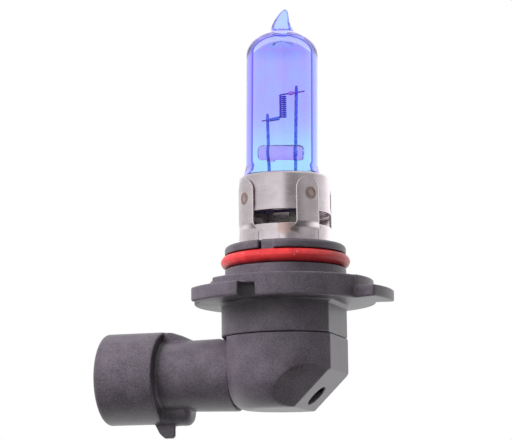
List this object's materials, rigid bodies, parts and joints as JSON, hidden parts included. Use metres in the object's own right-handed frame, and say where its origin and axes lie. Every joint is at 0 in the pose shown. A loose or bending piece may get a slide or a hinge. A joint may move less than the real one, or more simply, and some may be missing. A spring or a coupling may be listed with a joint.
{
  "type": "headlight bulb",
  "caption": "Right-angled halogen headlight bulb with a tinted glass burner, steel collar, sealed flanged plastic base and side connector.",
  "frame": {"origin": "where the bulb's axis meets the top face of the mounting flange", "axes": "+Z along the bulb's axis towards the glass tip; the connector opens along -X; +Y completes the right-handed frame"},
  "size_m": [0.0536, 0.0372, 0.0784],
  "materials": {
    "tinted_glass": "clear quartz tube with a blue-violet coating",
    "clear_glass": "clear drawn glass rod",
    "molybdenum": "dark drawn wire",
    "tungsten": "fine dark wire",
    "foil": "thin dull foil",
    "nickel_wire": "satin wire",
    "insulator": "matt off-white tube",
    "collar_steel": "satin stainless sheet",
    "sleeve_steel": "bright stainless sheet with heat tint at its seam",
    "base_plastic": "black glass-filled plastic with a fine sparkle",
    "seal_rubber": "red silicone, slightly dusty",
    "potting": "dark cast resin",
    "tinned_strip": "tinned strip"
  },
  "bodies": {
    "root": {"glass_envelope": "tinted_glass", "bridge_bar": "clear_glass", "long_support_post": "molybdenum", "short_support_post": "molybdenum", "filament": "tungsten", "upper_leg_sleeve": "molybdenum", "lower_leg_sleeve": "molybdenum", "front_seal_foil": "foil", "rear_seal_foil": "foil", "front_outer_lead": "nickel_wire", "rear_outer_lead": "nickel_wire", "front_lead_insulator": "insulator", "rear_lead_insulator": "insulator", "bulb_collar": "collar_steel", "pinch_clip": "collar_steel", "finger_sleeve": "sleeve_steel", "base_body": "base_plastic", "elbow_cover": "base_plastic", "connector_shell": "base_plastic", "o_ring": "seal_rubber", "base_potting": "potting", "terminal_carrier": "base_plastic", "front_terminal": "tinned_strip", "rear_terminal": "tinned_strip"}
  },
  "joints": []
}
